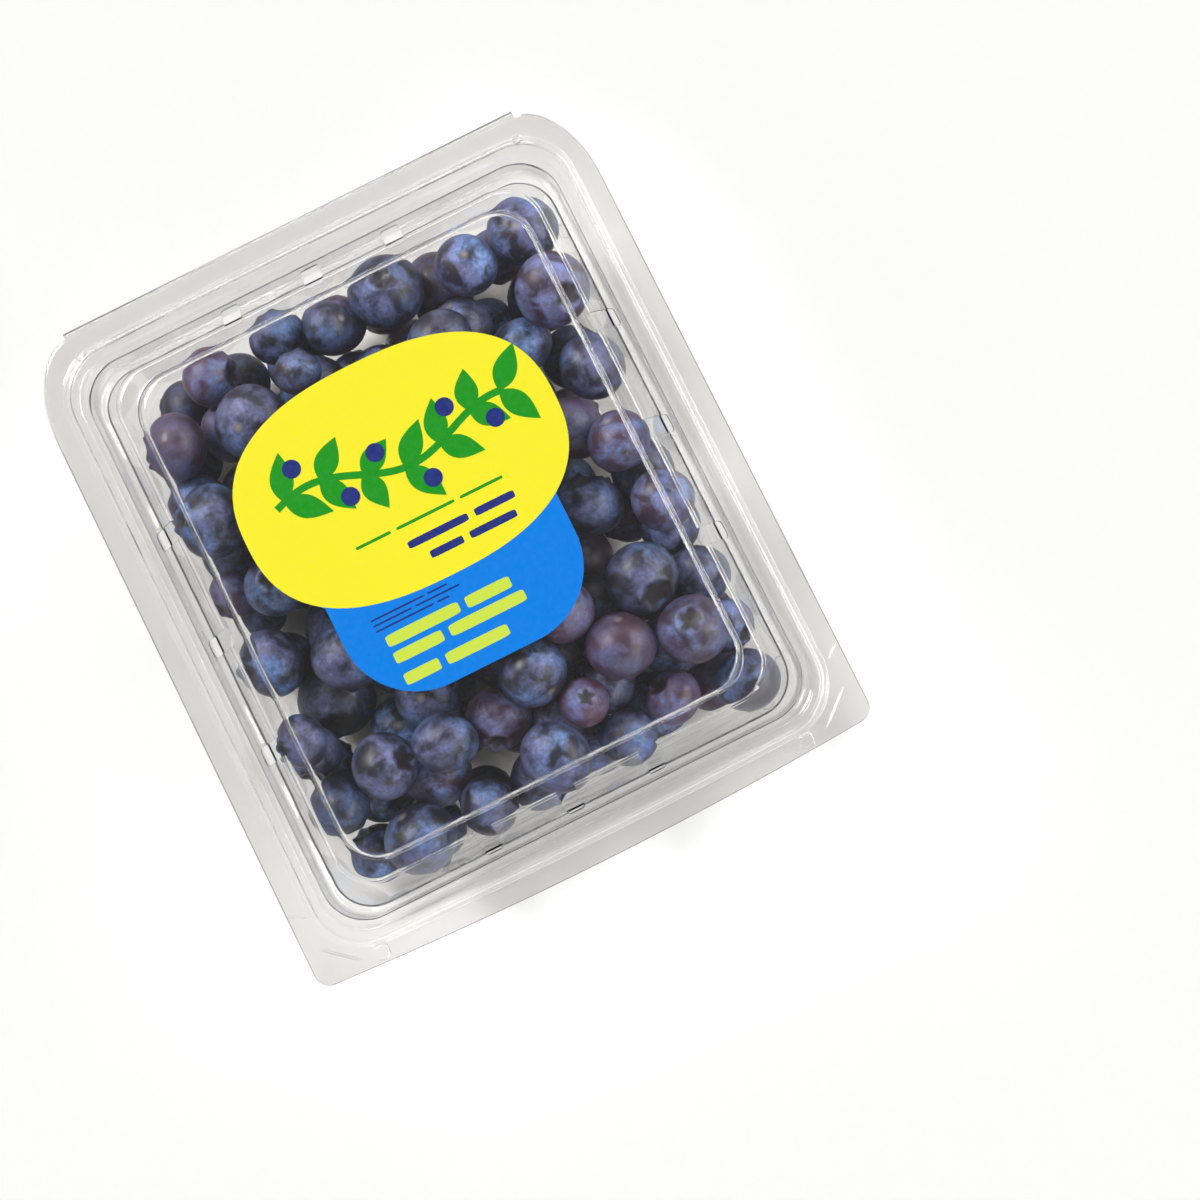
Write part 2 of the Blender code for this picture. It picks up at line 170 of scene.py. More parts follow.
# Printed bars in millimetres: left end, place up the label, half lengths, height, space and ink
BARS_ON_YELLOW = (
    (-14.0, -0.2, (3.6, 6.0, 4.4), 0.6, 1.2, GREEN),
    (-5.0, -4.0, (6.2, 4.1), 1.5, 1.4, NAVY),
    (-2.0, -7.4, (3.4, 4.8), 1.5, 1.4, NAVY),
)
BARS_ON_BLUE = (
    (-17.5, -13.6, (5.5, 2.0), 0.35, 0.8, NAVY),
    (-17.5, -14.7, (4.0, 4.5), 0.35, 0.8, NAVY),
    (-17.5, -15.8, (6.0, 1.2), 0.35, 0.8, NAVY),
    (-16.5, -18.4, (7.5, 4.6), 2.3, 1.4, LIME),
    (-16.5, -21.8, (5.0, 7.8), 2.3, 1.4, LIME),
    (-16.5, -26.2, (3.6, 6.4), 2.3, 1.4, LIME),
)
HALVINGS = 26  # enough to find an outline to a thousandth of a millimetre

SEED = 7
FREE_BERRIES = 96
FREE_DIAMETER = (12.2 * MM, 1.5 * MM)  # mean and spread
DIAMETER_LIMITS = (9.0 * MM, 15.0 * MM)
BERRY_CLEARANCE = 0.8 * MM
# Heights on a ball where the wall beside it is looked up, as shares of its radius
WALL_SAMPLES = (-0.9, -0.6, -0.3, 0.0, 0.3, 0.6, 0.8, 0.95)
FREE_CEILING = 19.0 * MM
# Berries that show best: x, y and diameter in millimetres
PLACED_BERRIES = (
    (-27.0, 47.0, 11.4),
    (-11.0, 49.8, 11.0),
    (-1.6, 46.5, 9.8),
    (10.6, 48.4, 14.5),
    (27.1, 45.1, 12.0),
    (39.3, 47.0, 13.5),
    (-36.8, 38.9, 13.2),
    (-23.2, 36.1, 14.2),
    (-10.5, 40.0, 9.0),
    (20.0, 35.6, 12.4),
    (38.3, 33.2, 14.5),
    (-42.4, 24.2, 14.0),
    (-42.5, 9.0, 9.6),
    (-33.0, 6.6, 11.8),
    (-41.8, -6.2, 13.1),
    (-42.8, -23.2, 10.2),
    (-42.0, -35.1, 12.1),
    (42.0, 17.6, 13.1),
    (33.2, 7.6, 12.6),
    (41.6, 1.9, 12.1),
    (28.0, -5.7, 13.4),
    (40.7, -12.3, 11.8),
    (30.8, -24.7, 13.8),
    (42.0, -26.6, 12.1),
    (34.1, -37.0, 13.1),
    (-27.9, -34.6, 12.6),
    (-16.6, -35.6, 12.4),
    (-27.9, -47.6, 14.0),
    (-14.8, -49.0, 11.6),
    (1.2, -47.6, 14.0),
    (-4.9, -35.1, 12.4),
    (6.9, -31.3, 13.1),
    (14.4, -21.8, 12.4),
    (14.4, -12.3, 11.4),
    (20.5, -33.2, 13.3),
    (7.3, -39.8, 9.2),
    (15.3, -47.4, 11.0),
    (25.6, -46.0, 10.6),
)
FREE_START_Z = 11.0 * MM
START_SPREAD = 7.0 * MM
START_INSET = 8.0 * MM
PLACED_START_Z = 26.0 * MM
SETTLE_STEPS = 900
FALL = 0.12 * MM  # in one step
PULL = 0.12  # of the way back to a placed berry's own place
SOLVE_ROUNDS = 3
PUSH_SHARE = 0.42  # of an overlap that each of two balls gives way by

# Which way the crown of a placed berry points, by its number in the list above
CROWN_DIRECTIONS = {
    3: (0.05, 0.25, 0.97),
    4: (-0.1, -0.2, -0.97),
    10: (0.35, -0.55, 0.75),
    11: (-0.75, 0.35, 0.55),
    13: (0.1, 0.2, 0.97),
    14: (-0.8, -0.1, 0.6),
    15: (-0.85, -0.1, 0.5),
    22: (0.15, -0.7, 0.7),
    25: (0.75, -0.1, 0.65),
    32: (0.3, 0.5, 0.8),
    35: (0.2, 0.1, 0.97),
}
# How mauve a placed berry is
MAUVE_SHARES = {3: 0.0, 18: 0.7, 24: 0.3, 30: 0.5, 32: 0.9, 33: 0.6, 34: 0.5, 35: 0.95}
UNRIPE_ODDS = 0.3  # the share of the other berries that are mauve
BERRY_FULLNESS = 1.03  # squeezed berries are a little larger than the balls that settle
# Heights on a berry, as degrees from the middle of its crown: close together where the crown is
CROWN_RINGS = (0, 5, 9, 12.5, 15, 17, 19, 21.5, 24.5, 28, 33, 40, 49)
BODY_RINGS = (59, 70, 81, 92, 103, 115, 127, 139, 151, 162, 170, 176, 180)
BERRY_RINGS = CROWN_RINGS + BODY_RINGS
BERRY_SEGMENTS = 30
LOBES = 5
TURN = 6.28  # a full turn, for waves that start anywhere
MOUTH = (16.0, 21.5)  # half angle of the crown's mouth in degrees
RIM_SPREAD = 4.5  # degrees
# Heights and depths on a berry, as shares of its radius
RIM_HEIGHT = 0.03
LOBE_HEIGHT = (0.06, 0.11)
BOWL_DEPTH = (0.12, 0.2)
DIMPLE_SPREAD = 11  # degrees
DIMPLE_DEPTH = 0.06

CAMERA_ANGLES = (-2.82, 84.56, -23.7)  # azimuth, elevation and roll in degrees
CAMERA_TARGET = (21.44 * MM, -24.0 * MM, 25.0 * MM)
FLOOR_RADIUS = 3.0
WHITE = (1.0, 1.0, 1.0, 1.0)
# Far lamps: direction, strength and angle in degrees
SUNS = (
    ("key", (-0.35, 0.55, 0.68), 1.88, 20.0),
    ("fill", (0.6, -0.5, 0.68), 0.8, 30.0),
)
# Long softboxes that draw bright streaks along the bends: place, size and power
STRIPS = (
    ("right strip", (0.9, 0.0, 0.62), (0.22, 1.3), 10.0),
    ("back strip", (-0.1, 0.9, 0.7), (1.3, 0.1), 4.0),
    ("front strip", (0.1, -1.0, 0.45), (1.2, 0.12), 3.0),
)


def linear(hex_colour):
    """An sRGB hex value as the linear colour that Blender works in."""
    value = int(hex_colour.lstrip("#"), 16)
    parts = [(value >> shift & 255) / 255 for shift in (16, 8, 0)]
    return tuple(c / 12.92 if c <= 0.04045 else ((c + 0.055) / 1.055) ** 2.4 for c in parts)


def size_property(name, description, default, low=0.0, high=0.2):
    return FloatProperty(
        name=name, description=description, default=default, min=low, max=high, unit="LENGTH"
    )


def colour_property(name, description, hex_colour):
    return FloatVectorProperty(
        name=name,
        description=description,
        default=linear(hex_colour),
        min=0.0,
        max=1.0,
        size=3,
        subtype="COLOR",
    )


class SheetSettings(bpy.types.PropertyGroup):
    """Sizes and colours of the clear plastic."""

    thickness: size_property("Sheet thickness", "Thickness of the formed sheet", 0.4 * MM)
    bend: size_property("Bend radius", "Rounding of the bends in the walls", 0.9 * MM)
    slot_radius: size_property("Slot corner", "Rounding of the vent slots", 0.7 * MM)
    corner_steps: IntProperty(
        name="Corner steps", description="Faces round each corner", default=16, min=4, max=48
    )
    tint: colour_property("Tint", "Colour of the sheet seen flat on", "#F2F1F0")
    edge: colour_property("Edge", "Colour of the sheet seen edge-on", "#DEDFDD")
    shade: colour_property("Shade", "What is left of light that passes a face", "#FAFAF9")


class BerrySettings(bpy.types.PropertyGroup):
    """Sizes and colours of the fruit."""

    flatness: FloatProperty(
        name="Flatness",
        description="Height of a berry along its crown, as a share of its width",
        default=0.88,
        min=0.6,
        max=1.0,
        subtype="FACTOR",
    )
    skin: colour_property("Skin", "Bare skin where the bloom is rubbed off", "#181320")
    bloom: colour_property("Bloom", "Pale waxy bloom", "#6A71A1")
    sky: colour_property("Sky bloom", "Bluer parts of the bloom", "#668AC6")
    mauve: colour_property("Mauve", "Skin of the less ripe berries", "#4E2C40")
    crown: colour_property("Crown", "Dry inside of the crown", "#1C161B")
    scar: colour_property("Scar", "Scar that the stalk leaves", "#7A706C")


class LabelSettings(bpy.types.PropertyGroup):
    """Sizes and colours of the sticker."""

    thickness: size_property("Film thickness", "Thickness of the label film", 0.1 * MM)
    yellow: colour_property("Yellow", "Upper field", "#F8EC28")
    blue: colour_property("Blue", "Lower field", "#007FE4")
    green: colour_property("Green", "Stem and leaves", "#179518")
    navy: colour_property("Navy", "Drawn berries and small bars", "#1F2F7A")
    lime: colour_property("Lime", "Bars on the blue field", "#CDE34A")
    back: colour_property("Back", "White film seen from below", "#C9CBC8")


class StageSettings(bpy.types.PropertyGroup):
    """Camera, floor and lights."""

    lens: FloatProperty(
        name="Lens",
        description="Focal length",
        default=85.0,
        min=20.0,
        max=300.0,
        unit="CAMERA",
    )
    distance: size_property(
        "Distance", "From the camera to the point that it looks at", 535.3 * MM, 0.1, 5.0
    )
    floor: colour_property("Floor", "Plain pale floor", "#F7F7F6")


def add_node(tree, kind, settings=None, **links):
    """Adds a node. Settings are its own options, links its inputs: a socket or a plain value.

    An input is named with _ for each space, or given by its number, as i0, i1 and so on.
    """
    node = tree.nodes.new(kind)
    for key, value in (settings or {}).items():
        setattr(node, key, value)
    for key, value in links.items():
        name = key.replace("_", " ")
        socket = node.inputs[int(key[1:]) if key[1:].isdigit() else name]
        if isinstance(value, bpy.types.NodeSocket):
            tree.links.new(value, socket)
        else:
            socket.default_value = value
    return node


def new_material(name):
    mat = bpy.data.materials.new(name)
    mat.use_nodes = True
    mat.node_tree.nodes.clear()
    return mat, mat.node_tree


def rgba(colour):
    return (*colour, 1.0)


def object_place(tree):
    return add_node(tree, "ShaderNodeTexCoord").outputs["Object"]


def noise(tree, place, size, detail, roughness, distortion=0.0):
    """Noise with features this many millimetres wide."""
    node = add_node(
        tree,
        "ShaderNodeTexNoise",
        Vector=place,
        Scale=1.0 / (size * MM),
        Detail=detail,
        Roughness=roughness,
        Distortion=distortion,
    )
    return node.outputs["Fac"]


def calculated(tree, operation, first, second, clamp=False):
    settings = {"operation": operation, "use_clamp": clamp}
    return add_node(tree, "ShaderNodeMath", settings, i0=first, i1=second).outputs[0]


def mapped(tree, value, before, after, kind="LINEAR"):
    """The value moved from one range to another and held at its ends."""
    node = add_node(
        tree,
        "ShaderNodeMapRange",
        {"interpolation_type": kind},
        Value=value,
        From_Min=before[0],
        From_Max=before[1],
        To_Min=after[0],
        To_Max=after[1],
    )
    return node.outputs[0]


def mixed(tree, share, first, second):
    """The first colour at share 0, the second at share 1."""
    settings = {"data_type": "RGBA"}
    return add_node(tree, "ShaderNodeMix", settings, i0=share, i6=first, i7=second).outputs[2]


def bump(tree, height, strength, distance):
    node = add_node(
        tree, "ShaderNodeBump", Strength=strength, Distance=distance, Height=height
    )
    return node.outputs["Normal"]


def clear_sheet_material(settings):
    """Clear PET sheet, thermoformed.

    Drawn thin over a mould, it has a glossy skin with faint waves a few millimetres wide, so its
    highlights wander a little instead of being ruler-straight. Where it turns edge-on to the eye,
    at bends, steep walls and cut edges, more of it lies in the way and it looks grey.
    """
    mat, tree = new_material("thermoformed clear PET")
    waves = noise(tree, object_place(tree), 9.0, 1.0, 0.55)
    edge_on = add_node(tree, "ShaderNodeLayerWeight", Blend=0.5).outputs["Facing"]
    depth = calculated(tree, "POWER", edge_on, 1.6)
    gloss = add_node(
        tree,
        "ShaderNodeBsdfPrincipled",
        {"distribution": "GGX"},
        Base_Color=mixed(tree, depth, rgba(settings.tint), rgba(settings.edge)),
        Roughness=0.015,
        IOR=1.575,
        Transmission_Weight=1.0,
        Normal=bump(tree, waves, 0.32, 0.45 * MM),
    )
    passed = add_node(tree, "ShaderNodeBsdfTransparent", Color=rgba(settings.shade))
    path = add_node(tree, "ShaderNodeLightPath")
    sheet = add_node(
        tree,
        "ShaderNodeMixShader",
        i0=path.outputs["Is Shadow Ray"],
        i1=gloss.outputs[0],
        i2=passed.outputs[0],
    )
    add_node(tree, "ShaderNodeOutputMaterial", Surface=sheet.outputs[0])
    return mat


def berry_material(settings):
    """Blueberry skin, grown: smooth navy skin under a dusty wax bloom.

    The bloom is pale and scatters light, so a berry has a soft, wide highlight. Where it is rubbed
    off the skin shows dark, in patches of a few millimetres.
    """
    mat, tree = new_material("fresh blueberry skin with bloom")
    tint, ripe, crown, scar = (
        add_node(tree, "ShaderNodeAttribute", {"attribute_name": name}).outputs["Fac"]
        for name in ("tint", "ripe", "crown", "scar")
    )
    place = object_place(tree)
    patches = noise(tree, place, 4.2, 3.0, 0.58, 0.35)
    dust = noise(tree, place, 0.8, 1.0, 0.7)
    cast = noise(tree, place, 9.0, 0.0, 0.5)
    bluer = mapped(tree, cast, (0.45, 0.65), (0.0, 0.85))
    wax = mixed(tree, bluer, rgba(settings.bloom), rgba(settings.sky))
    worn = mapped(tree, patches, (0.4, 0.61), (0.03, 0.98))
    speckle = mapped(tree, dust, (0.3, 0.7), (0.6, 1.2))
    covered = calculated(tree, "MULTIPLY", worn, speckle)
    covered = calculated(tree, "MULTIPLY", covered, tint, clamp=True)
    bare = mixed(tree, ripe, rgba(settings.skin), rgba(settings.mauve))
    skin = mixed(tree, covered, bare, wax)
    # Painted shade: the colour turns from bloom to bare skin towards a berry's edge as the eye sees it,
    # standing in for wax grains that scatter light back to where it comes from
    facing = add_node(tree, "ShaderNodeLayerWeight", Blend=0.5).outputs["Facing"]
    painted_edge_shade = calculated(tree, "MULTIPLY", calculated(tree, "POWER", facing, 1.8), 0.8)
    shaded = mixed(tree, painted_edge_shade, skin, bare)
    crowned = mixed(tree, crown, shaded, rgba(settings.crown))
    dressed = mixed(tree, scar, crowned, rgba(settings.scar))
    surface = add_node(
        tree,
        "ShaderNodeBsdfPrincipled",
        {"distribution": "GGX"},
        Base_Color=dressed,
        Roughness=mapped(tree, covered, (0.0, 1.0), (0.38, 0.62)),
        IOR=1.42,
    )
    add_node(tree, "ShaderNodeOutputMaterial", Surface=surface.outputs[0])
    return mat


def print_material(name, colour, paler):
    """Ink on polypropylene label film, flexo printed: even colour with a faint mottle."""
    mat, tree = new_material(name)
    place = object_place(tree)
    share = mapped(tree, noise(tree, place, 1.2, 3.0, 0.6), (0.3, 0.75), (0.0, paler))
    ripple = noise(tree, place, 14.0, 1.0, 0.4)
    surface = add_node(
        tree,
        "ShaderNodeBsdfPrincipled",
        Base_Color=mixed(tree, share, rgba(colour), WHITE),
        Roughness=0.32,
        IOR=1.49,
        Specular_IOR_Level=0.2,
        Normal=bump(tree, ripple, 0.2, 0.3 * MM),
    )
    add_node(tree, "ShaderNodeOutputMaterial", Surface=surface.outputs[0])
    return mat


def new_object(name, mesh):
    obj = bpy.data.objects.new(name, mesh)
    bpy.context.scene.collection.objects.link(obj)
    return obj


def mesh_of(bm, name):
    mesh = bpy.data.meshes.new(name)
    bm.to_mesh(mesh)
    bm.free()
    return mesh


def ring(out, z, steps, edge=False):
    """A level rounded rectangle, out from the rim. With edge it is the flange's outline."""
    half_x = RIM_HALF_X + (FLANGE_X if edge else out)
    reach = {1: FLANGE_BACK if edge else out, -1: FLANGE_FRONT if edge else out}
    plain = max(RIM_RADIUS + out / 2, TIGHTEST_CORNER)
    corner = {
        1: BACK_CORNER if edge else (plain, plain),
        -1: (FRONT_RADIUS, FRONT_RADIUS) if edge else (plain, plain),
    }
    share = 1.0 if edge else max(out, 0.0) / FLANGE_X
    bow = {1: BACK_BOW * share, -1: FRONT_BOW * share}
    corners = []
    for number, (side_x, side_y) in enumerate(((1, 1), (-1, 1), (-1, -1), (1, -1))):
        half_y = RIM_HALF_Y + reach[side_y]
        wide, long = corner[side_y]
        arc = []
        for step in range(steps + 1):
            angle = math.pi / 2 * (number + step / steps)
            x = side_x * (half_x - wide) + wide * math.cos(angle)
            y = side_y * (half_y - long) + long * math.sin(angle)
            arc.append(Vector((x, y + side_y * bow[side_y] * (1 - (x / half_x) ** 2), z)))
        corners.append(arc)
    points = []
    for number, arc in enumerate(corners):
        points += arc
        start, end = arc[-1], corners[(number + 1) % 4][0]
        for step in range(1, steps):
            point = start.lerp(end, step / steps)
            if number in (0, 2):
                side_y = 1 if number == 0 else -1
                half_y = RIM_HALF_Y + reach[side_y]
                point.y = side_y * (half_y + bow[side_y] * (1 - (point.x / half_x) ** 2))
            points.append(point)
    return points


def ring_at(out, z, steps):
    """A ring at any reach: past the bead it turns gradually into the flange's outline."""
    if out <= BEAD_OUTER:
        return ring(out, z, steps)
    share = (out - BEAD_OUTER) / (FLANGE_X - BEAD_OUTER)
    inner, outer = ring(BEAD_OUTER, z, steps), ring(0, z, steps, edge=True)
    return [a.lerp(b, share) for a, b in zip(inner, outer)]


def rounded(profile, radius, steps=5):
    """The profile with its bends rounded, and a support point just beyond each bend.

    A bend takes at most BEND_SHARE of the straight on either side of it.
    """
    points = [Vector(profile[0])]
    for before, at, after in zip(profile, profile[1:], profile[2:]):
        before, at, after = Vector(before), Vector(at), Vector(after)
        back, on = before - at, after - at
        turn = math.pi - back.angle(on)
        longest = BEND_SHARE * min(back.length, on.length)
        reach = min(radius * math.tan(turn / 2), longest)
        start, end = at + back.normalized() * reach, at + on.normalized() * reach
        support = SUPPORT_SHARE * reach + SUPPORT_LEAST
        points.append(start + back.normalized() * support)
        for step in range(steps + 1):
            t = step / steps
            points.append(start * (1 - t) ** 2 + at * (2 * t * (1 - t)) + end * t**2)
        points.append(end + on.normalized() * support)
    points.append(Vector(profile[-1]))
    return points


def loft(rings):
    """An open surface through rings, closed by a flat panel in the middle."""
    bm = bmesh.new()
    rows = [[bm.verts.new(point) for point in points] for points in rings]
    for outer, inner in zip(rows, rows[1:]):
        for i in range(len(outer)):
            j = (i + 1) % len(outer)
            bm.faces.new((outer[i], outer[j], inner[j], inner[i]))
    bm.faces.new(rows[-1])
    return bm, rows


def add_fold(bm, edge_row, side, thickness, steps=5):
    """Half of the hinge fold: the flange's back edge curls to the crease line, sheet and all."""
    crease_y = CREASE[0] - thickness - HINGE_ROOM
    half = RIM_HALF_X + FLANGE_X - BACK_CORNER[0] + LOOSE
    row = [v for v in edge_row if v.co.y > RIM_HALF_Y and abs(v.co.x) < half]
    row.sort(key=lambda v: v.co.x)
    for step in range(1, steps + 1):
        angle = math.pi / 2 * step / steps
        new_row = []
        for vert in row if step == 1 else first:
            start = vert.co
            y = start.y + (crease_y - start.y) * math.sin(angle)
            z = CREASE[1] + (start.z - CREASE[1]) * math.cos(angle)
            new_row.append(bm.verts.new((start.x, y, z)))
        if step == 1:
            first = row
        for i in range(len(row) - 1):
            quad = (row[i], row[i + 1], new_row[i + 1], new_row[i])
            bm.faces.new(quad if side > 0 else quad[::-1])
        row = new_row


def rounded_box(name, centre, size, radius):
    """A box with its upright edges rounded, to cut a slot with."""
    bm = bmesh.new()
    bmesh.ops.create_cube(bm, size=1.0)
    bmesh.ops.scale(bm, vec=size, verts=bm.verts)
    upright = [e for e in bm.edges if abs(e.verts[0].co.z - e.verts[1].co.z) > size[2] / 2]
    bmesh.ops.bevel(
        bm, geom=upright, offset=radius, segments=4, profile=0.5, affect="EDGES"
    )
    bmesh.ops.translate(bm, vec=centre, verts=bm.verts)
    return new_object(name, mesh_of(bm, name))


def dome(name, centre, radius, height, sunk):
    """A low round button, its foot sunk in the flange."""
    bm = bmesh.new()
    bmesh.ops.create_uvsphere(bm, u_segments=24, v_segments=16, radius=1.0)
    for vert in bm.verts:
        # Powers over 2 give the button its soft square outline, steep sides and flat top
        x, y, z = vert.co
        flat = math.hypot(x, y)
        swell = flat / (abs(x) ** 3 + abs(y) ** 3) ** (1 / 3) if flat > 1e-6 else 1.0
        fuller = (flat**4 + z**4) ** -0.25
        vert.co = (x * swell * fuller, y * swell * fuller, z * fuller)
    bmesh.ops.scale(bm, vec=(radius, radius, height), verts=bm.verts)
    below = [v for v in bm.verts if v.co.z < 0]
    for vert in below:
        vert.co.z *= sunk / height
    bmesh.ops.translate(bm, vec=centre, verts=bm.verts)
    return new_object(name, mesh_of(bm, name))


def low_cone(name, base_radius, top_radius, height, place):
    """A low cone standing on this place, with its radius at the foot and at the top."""
    bm = bmesh.new()
    bmesh.ops.create_cone(
        bm, cap_ends=True, segments=24, radius1=base_radius, radius2=top_radius, depth=height
    )
    bmesh.ops.translate(bm, vec=Vector(place) + Vector((0, 0, height / 2)), verts=bm.verts)
    return new_object(name, mesh_of(bm, name))


def rib(name, start, end, width, height, z):
    """A straight ridge of half-round section, its foot sunk in the flange."""
    start, end = Vector(start), Vector(end)
    side = Vector((start.y - end.y, end.x - start.x)).normalized() * width / 2
    bm = bmesh.new()
    rows = []
    for share, swell in ((0.0, 0.4), (0.15, 1.0), (0.85, 1.0), (1.0, 0.4)):
        place = start.lerp(end, share)
        row = [(place - side * swell, z - SINK), (place + side * swell, z - SINK)]
        for step in range(7):
            angle = math.pi * step / 6
            row.append((place + side * swell * math.cos(angle), z + height * swell * math.sin(angle)))
        rows.append([bm.verts.new((point.x, point.y, level)) for point, level in row])
    for before, after in zip(rows, rows[1:]):
        for i in range(len(before)):
            j = (i + 1) % len(before)
            bm.faces.new((before[i], before[j], after[j], after[i]))
    bm.faces.new(rows[0][::-1])
    bm.faces.new(rows[-1])
    bmesh.ops.recalc_face_normals(bm, faces=bm.faces)
    return new_object(name, mesh_of(bm, name))


def applied(obj):
    """The object's mesh with its modifiers in it."""
    bpy.context.view_layer.update()
    graph = bpy.context.evaluated_depsgraph_get()
    return bpy.data.meshes.new_from_object(obj.evaluated_get(graph))


def formed_shell(name, mesh, settings, side, cutters, extras, mat):
    """Gives the open surface its thickness, joins the extras, cuts the slots."""
    obj = new_object(name, mesh)
    thick = obj.modifiers.new("Thickness", "SOLIDIFY")
    thick.thickness = settings.thickness
    thick.offset = side
    thick.use_even_offset = True
    thick.use_quality_normals = True
    for operation, others in (("UNION", extras), ("DIFFERENCE", cutters)):
        for other in others:
            step = obj.modifiers.new(operation.title(), "BOOLEAN")
            step.operation = operation
            step.solver = "MANIFOLD"
            step.object = other
    shell = applied(obj)
    obj.modifiers.clear()
    obj.data = shell
    for other in [*cutters, *extras]:
        bpy.data.objects.remove(other)
    shell.materials.clear()
    shell.materials.append(mat)
    shell.shade_smooth()
    shell.set_sharp_from_angle(angle=math.radians(32))
    return obj


def flange_profile(z, inner, outer, curl):
    """The flange from its outline in over the bead, as reach out from the rim and height."""
    return [
        (FLANGE_X, z + curl),
        (FLANGE_X - CURL_WIDTH, z),
        (outer, z),
        (outer - BEAD_SLOPE, z + BEAD_HEIGHT),
        (inner + BEAD_SLOPE, z + BEAD_HEIGHT),
        (inner, z),
    ]


def tray_profile():
    foot_inner = FOOT_OUT - FOOT_WIDTH
    foot = [
        (foot_inner, WALL + PIP_HEIGHT),
        (foot_inner - FLOOR_RISE, WALL + FLOOR_RISE),
        (foot_inner - FLOOR_RISE - PANEL_MARGIN, WALL + FLOOR_RISE),
    ]
    top = flange_profile(TRAY_TOP, BEAD_INNER + GAP, BEAD_OUTER - GAP, -CURL)
    return top + list(TRAY_WALL) + foot


def lid_profile():
    panel = [(LID_WALL[-1][0] - PANEL_MARGIN, LID_WALL[-1][1])]
    return flange_profile(LID_BASE, BEAD_INNER, BEAD_OUTER, CURL) + list(LID_WALL) + panel


def shell_surface(profile, settings, side):
    points = rounded(profile, settings.bend)
    rings = [ring_at(out, z, settings.corner_steps) for out, z in points]
    bm, rows = loft(rings)
    add_fold(bm, rows[0], side, settings.thickness)
    return bm


def vent_cutters(settings):
    length = VENT_OUTER - VENT_INNER
    middle = (VENT_OUTER + VENT_INNER) / 2
    z = PARTING_Z + LID_RISE
    height = 2 * (LID_RISE - VENT_FOOT)
    made = []
    for side in (1, -1):
        for place in (-1, 0, 1):
            front = (place * VENT_PITCH_X, side * (RIM_HALF_Y + middle), z)
            flank = (side * (RIM_HALF_X + middle), place * VENT_PITCH_Y, z)
            for centre, size in (
                (front, (VENT_WIDTH, length, height)),
                (flank, (length, VENT_WIDTH, height)),
            ):
                made.append(rounded_box("vent", centre, size, settings.slot_radius))
    return made


def floor_cutters(settings):
    made = []
    for row in (-1, 0, 1):
        for column in (-1, 0, 1):
            x, y = column * FLOOR_SLOT_PITCH[0], row * FLOOR_SLOT_PITCH[1]
            made.append(
                rounded_box("slot", (x, y, FLOOR_RISE), (*FLOOR_SLOT, 3 * WALL), FLOOR_SLOT_CORNER)
            )
    return made


def wall_inset(places, radii):
    """How far inside the rim the wall stands for each ball, over the heights that it spans."""
    outs, heights = zip(*TRAY_WALL[::-1], *LID_WALL)
    insets = []
    for share in WALL_SAMPLES:
        level = places[:, 2] + share * radii
        narrower = radii * (1 - math.sqrt(1 - share**2))
        insets.append(-np.interp(level, heights, outs) - narrower)
    return np.max(insets, axis=0)


def keep_inside(places, radii):
    """Moves each berry clear of the floor, the panel above and the rounded walls."""
    floor = WALL + FLOOR_RISE + BERRY_CLEARANCE
    ceiling = LID_WALL[-1][1] - BERRY_CLEARANCE
    places[:, 2] = np.clip(places[:, 2], floor + radii, ceiling - radii)
    inset = wall_inset(places, radii)
    corner = TIGHTEST_CORNER
    centre = np.stack((RIM_HALF_X - inset - corner, RIM_HALF_Y - inset - corner), axis=1)
    past = places[:, :2] - np.clip(places[:, :2], -centre, centre)
    length = np.linalg.norm(past, axis=1)
    reach = np.maximum(corner - radii - BERRY_CLEARANCE, 1e-6)
    over = length > reach
    shrink = np.where(over, reach / np.maximum(length, 1e-9), 1.0)
    places[:, :2] = np.clip(places[:, :2], -centre, centre) + past * shrink[:, None]
    limit = np.stack((RIM_HALF_X - inset, RIM_HALF_Y - inset), axis=1)
    limit -= (radii + BERRY_CLEARANCE)[:, None]
    places[:, :2] = np.clip(places[:, :2], -limit, limit)


def push_apart(places, radii):
    between = places[:, None] - places[None]
    distance = np.linalg.norm(between, axis=2) + np.eye(len(places))
    overlap = np.maximum(radii[:, None] + radii[None] - distance, 0.0)
    np.fill_diagonal(overlap, 0.0)
    places += (between / distance[..., None] * overlap[..., None]).sum(axis=1) * PUSH_SHARE


def settled_berries():
    """Places and radii of all berries: loose ones fall under and between the placed ones."""
    rng = np.random.default_rng(SEED)
    placed = np.array(PLACED_BERRIES) * MM
    loose = np.clip(rng.normal(*FREE_DIAMETER, FREE_BERRIES), *DIAMETER_LIMITS)
    radii = np.concatenate((placed[:, 2], loose)) / 2
    spread = rng.uniform(-1, 1, (FREE_BERRIES, 3))
    size = (RIM_HALF_X - START_INSET, RIM_HALF_Y - START_INSET, START_SPREAD)
    below = spread * size + (0.0, 0.0, FREE_START_Z)
    above = np.column_stack((placed[:, :2], np.full(len(placed), PLACED_START_Z)))
    places = np.concatenate((above, below))
    is_loose = np.arange(len(places)) >= len(placed)
    for step in range(SETTLE_STEPS):
        # Moves get smaller, so that the heap comes to rest
        fade = 1 - step / SETTLE_STEPS
        places[:, 2] -= FALL * fade
        places[: len(placed), :2] += (placed[:, :2] - places[: len(placed), :2]) * PULL * fade
        for _ in range(SOLVE_ROUNDS):
            push_apart(places, radii)
            from_label = np.abs(places[:, :2] - LABEL_CENTRE).max(axis=1)
            low = is_loose & (from_label > LABEL_HALF_X)
            places[low, 2] = np.minimum(places[low, 2], FREE_CEILING)
            keep_inside(places, radii)
    return places, radii


